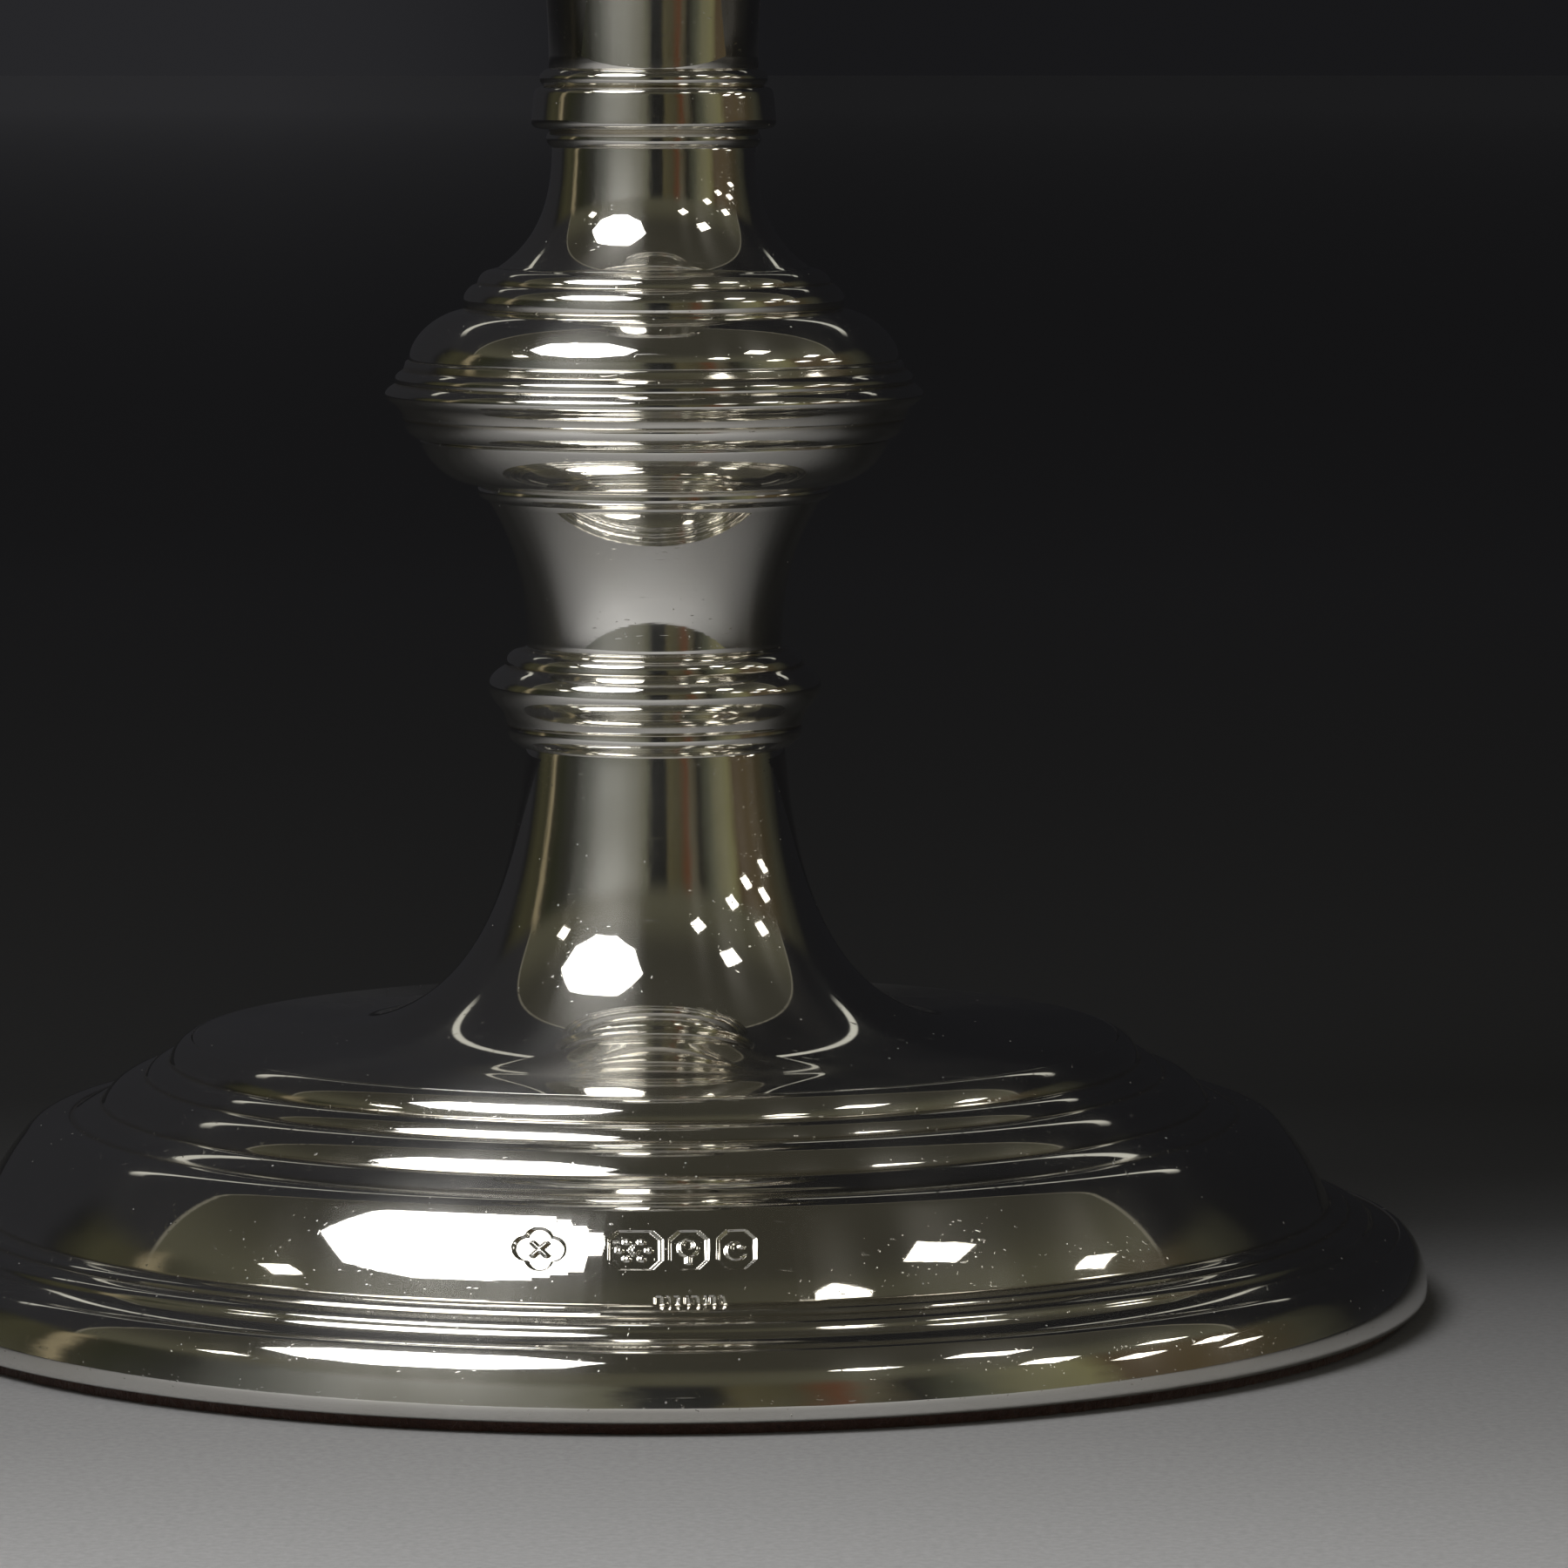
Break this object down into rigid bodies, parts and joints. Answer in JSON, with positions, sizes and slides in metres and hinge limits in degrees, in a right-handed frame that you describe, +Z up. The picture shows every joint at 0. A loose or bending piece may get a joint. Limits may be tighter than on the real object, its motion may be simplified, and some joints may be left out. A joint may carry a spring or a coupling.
{
  "type": "silver candlestick",
  "caption": "Polished silver candlestick with a round stepped foot, ringed knop, slender flared stem, spool-shaped socket and a lift-out drip pan nozzle.",
  "frame": {"origin": "centre of the underside of the felt, on the surface that the foot stands on", "axes": "+Z up along the candlestick's turning axis; it is round, so +X and +Y are any two level directions, with the stamped marks towards -Y"},
  "size_m": [0.125, 0.125, 0.1829],
  "materials": {
    "polished_silver": "polished sterling silver sheet and wire, fine hairline polishing marks",
    "baize": "reddish-brown felt, cut edge",
    "plain_steel": "dull mild steel, unseen",
    "filling": "hard plaster and resin filling, unseen"
  },
  "bodies": {
    "stick": {"felt_pad": "baize", "base_plate": "plain_steel", "rod_nut": "plain_steel", "reinforcing_rod": "plain_steel", "foot_filling": "filling", "stem_filling": "filling", "foot_shell": "polished_silver", "trumpet_shell": "polished_silver", "lower_collar": "polished_silver", "waist_shell": "polished_silver", "knop_wire": "polished_silver", "knop_cup": "polished_silver", "knop_girdle": "polished_silver", "knop_shoulder": "polished_silver", "neck_ring": "polished_silver", "neck_shell": "polished_silver", "upper_collar": "polished_silver", "column_shell": "polished_silver", "socket_ring": "polished_silver", "socket_shell": "polished_silver", "socket_liner": "polished_silver", "socket_rim": "polished_silver"},
    "nozzle": {"nozzle_tube": "polished_silver", "nozzle_pan": "polished_silver", "nozzle_wire": "polished_silver"}
  },
  "joints": [
    {"name": "nozzle_lift", "type": "slide", "parent": "stick", "child": "nozzle", "axis": [0, 0, 1], "range_m": [0, 0.045]}
  ]
}
